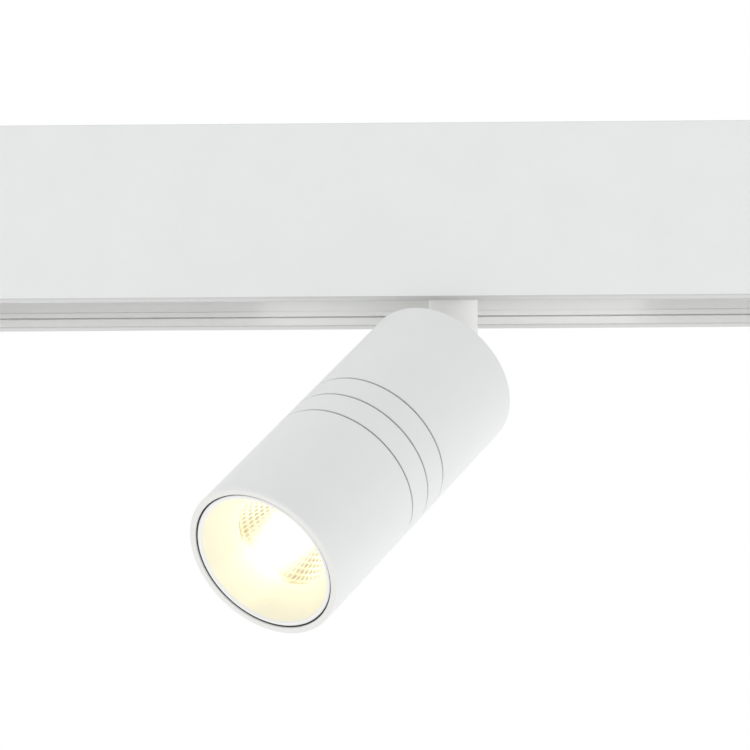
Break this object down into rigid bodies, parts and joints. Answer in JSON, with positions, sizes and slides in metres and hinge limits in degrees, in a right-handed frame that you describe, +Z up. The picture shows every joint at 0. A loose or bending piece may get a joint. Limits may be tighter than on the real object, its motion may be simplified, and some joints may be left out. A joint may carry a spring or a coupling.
{
  "type": "track spotlight",
  "caption": "Small white cylindrical spotlight that tilts and turns on a round stem, with its magnetic adapter in a length of low-voltage surface track.",
  "frame": {"origin": "centre of the track's top face, which lies against the ceiling, on the stem's axis", "axes": "+Z up, +X to the right along the track, -Y towards the front"},
  "size_m": [0.3, 0.0864, 0.1572],
  "materials": {
    "white_powder_coat": "fine-textured matt white powder coat",
    "white_plastic": "moulded white plastic, satin",
    "cream_baffle": "smooth matt white moulded plastic",
    "grey_plastic": "moulded pale grey plastic",
    "copper": "drawn copper strip",
    "zinc_steel": "zinc-plated steel sheet",
    "screw_steel": "plated steel",
    "nickel": "nickel-plated magnet",
    "gold_plate": "gold-plated brass",
    "dark_rubber": "black rubber",
    "green_board": "green solder mask",
    "dark_component": "moulded black component body",
    "capacitor_sleeve": "shrink sleeve",
    "bearing_plastic": "low-friction bearing plastic",
    "cable_jacket": "white cable jacket",
    "lead_insulation": "wire insulation",
    "raw_aluminium": "extruded and turned aluminium",
    "thermal_grey": "thermal pad",
    "led_board_white": "white coated metal-core board",
    "led_glow": "phosphor over the LED, lit",
    "bright_reflector": "vacuum-metallised facets",
    "clear_lens": "clear dimpled lens"
  },
  "bodies": {
    "track": {"track_profile": "white_powder_coat", "steel_strip": "zinc_steel", "insulator_front": "grey_plastic", "insulator_rear": "grey_plastic", "conductor_front": "copper", "conductor_rear": "copper", "end_cap_left": "white_plastic", "end_cap_right": "white_plastic", "feed_terminal": "grey_plastic", "feed_terminal_screws": "screw_steel", "feed_grommet": "dark_rubber"},
    "adapter": {"adapter_body": "white_plastic", "adapter_cover": "white_plastic", "adapter_cover_screws": "screw_steel", "magnets": "nickel", "contact_block": "grey_plastic", "contact_spring_front": "screw_steel", "contact_spring_rear": "screw_steel", "driver_board": "green_board", "driver_board_screws": "screw_steel", "driver_inductor": "dark_component", "driver_capacitors": "capacitor_sleeve", "driver_chips": "dark_component", "pan_washer": "bearing_plastic", "pan_retainer": "zinc_steel", "pan_retainer_screws": "screw_steel"},
    "contact_front": {"contact_pin_front": "gold_plate"},
    "contact_rear": {"contact_pin_rear": "gold_plate"},
    "stem": {"stem": "white_powder_coat", "pan_stop_pin": "screw_steel", "stem_cable": "cable_jacket", "tilt_screws": "screw_steel", "tilt_washers": "bearing_plastic"},
    "head": {"clevis": "white_powder_coat", "clevis_screws": "screw_steel", "rear_cap": "white_powder_coat", "rear_tube": "white_powder_coat", "front_tube": "white_powder_coat", "heat_sink": "raw_aluminium", "heat_sink_screws": "screw_steel", "lamp_terminal": "grey_plastic", "lamp_leads": "lead_insulation", "head_cable": "cable_jacket", "thermal_pad": "thermal_grey", "led_board": "led_board_white", "led_emitter": "led_glow", "led_holder": "white_plastic", "led_holder_screws": "screw_steel", "optic_holder": "white_plastic", "reflector": "bright_reflector", "lens": "clear_lens", "front_baffle": "cream_baffle", "baffle_seal": "dark_rubber"}
  },
  "joints": [
    {"name": "adapter_slide", "type": "slide", "parent": "track", "child": "adapter", "axis": [1, 0, 0], "range_m": [-0.089, 0.078]},
    {"name": "pan", "type": "hinge", "parent": "adapter", "child": "stem", "pos_m": [0, 0, -0.06785], "axis": [0, 0, 1], "range_deg": [-127.4, 216.6]},
    {"name": "tilt", "type": "hinge", "parent": "stem", "child": "head", "pos_m": [0, 0, -0.06785], "axis": [-0.712, 0.7022, 0], "range_deg": [-99.5, 10.5]},
    {"name": "contact_front_press", "type": "slide", "parent": "adapter", "child": "contact_front", "axis": [0, 0, 1], "range_m": [-0.0012, 0], "stiffness_N_per_m": 600, "springref_m": 0.0006, "deforming": ["contact_spring_front"]},
    {"name": "contact_rear_press", "type": "slide", "parent": "adapter", "child": "contact_rear", "axis": [0, 0, 1], "range_m": [-0.0012, 0], "stiffness_N_per_m": 600, "springref_m": 0.0006, "deforming": ["contact_spring_rear"]}
  ]
}
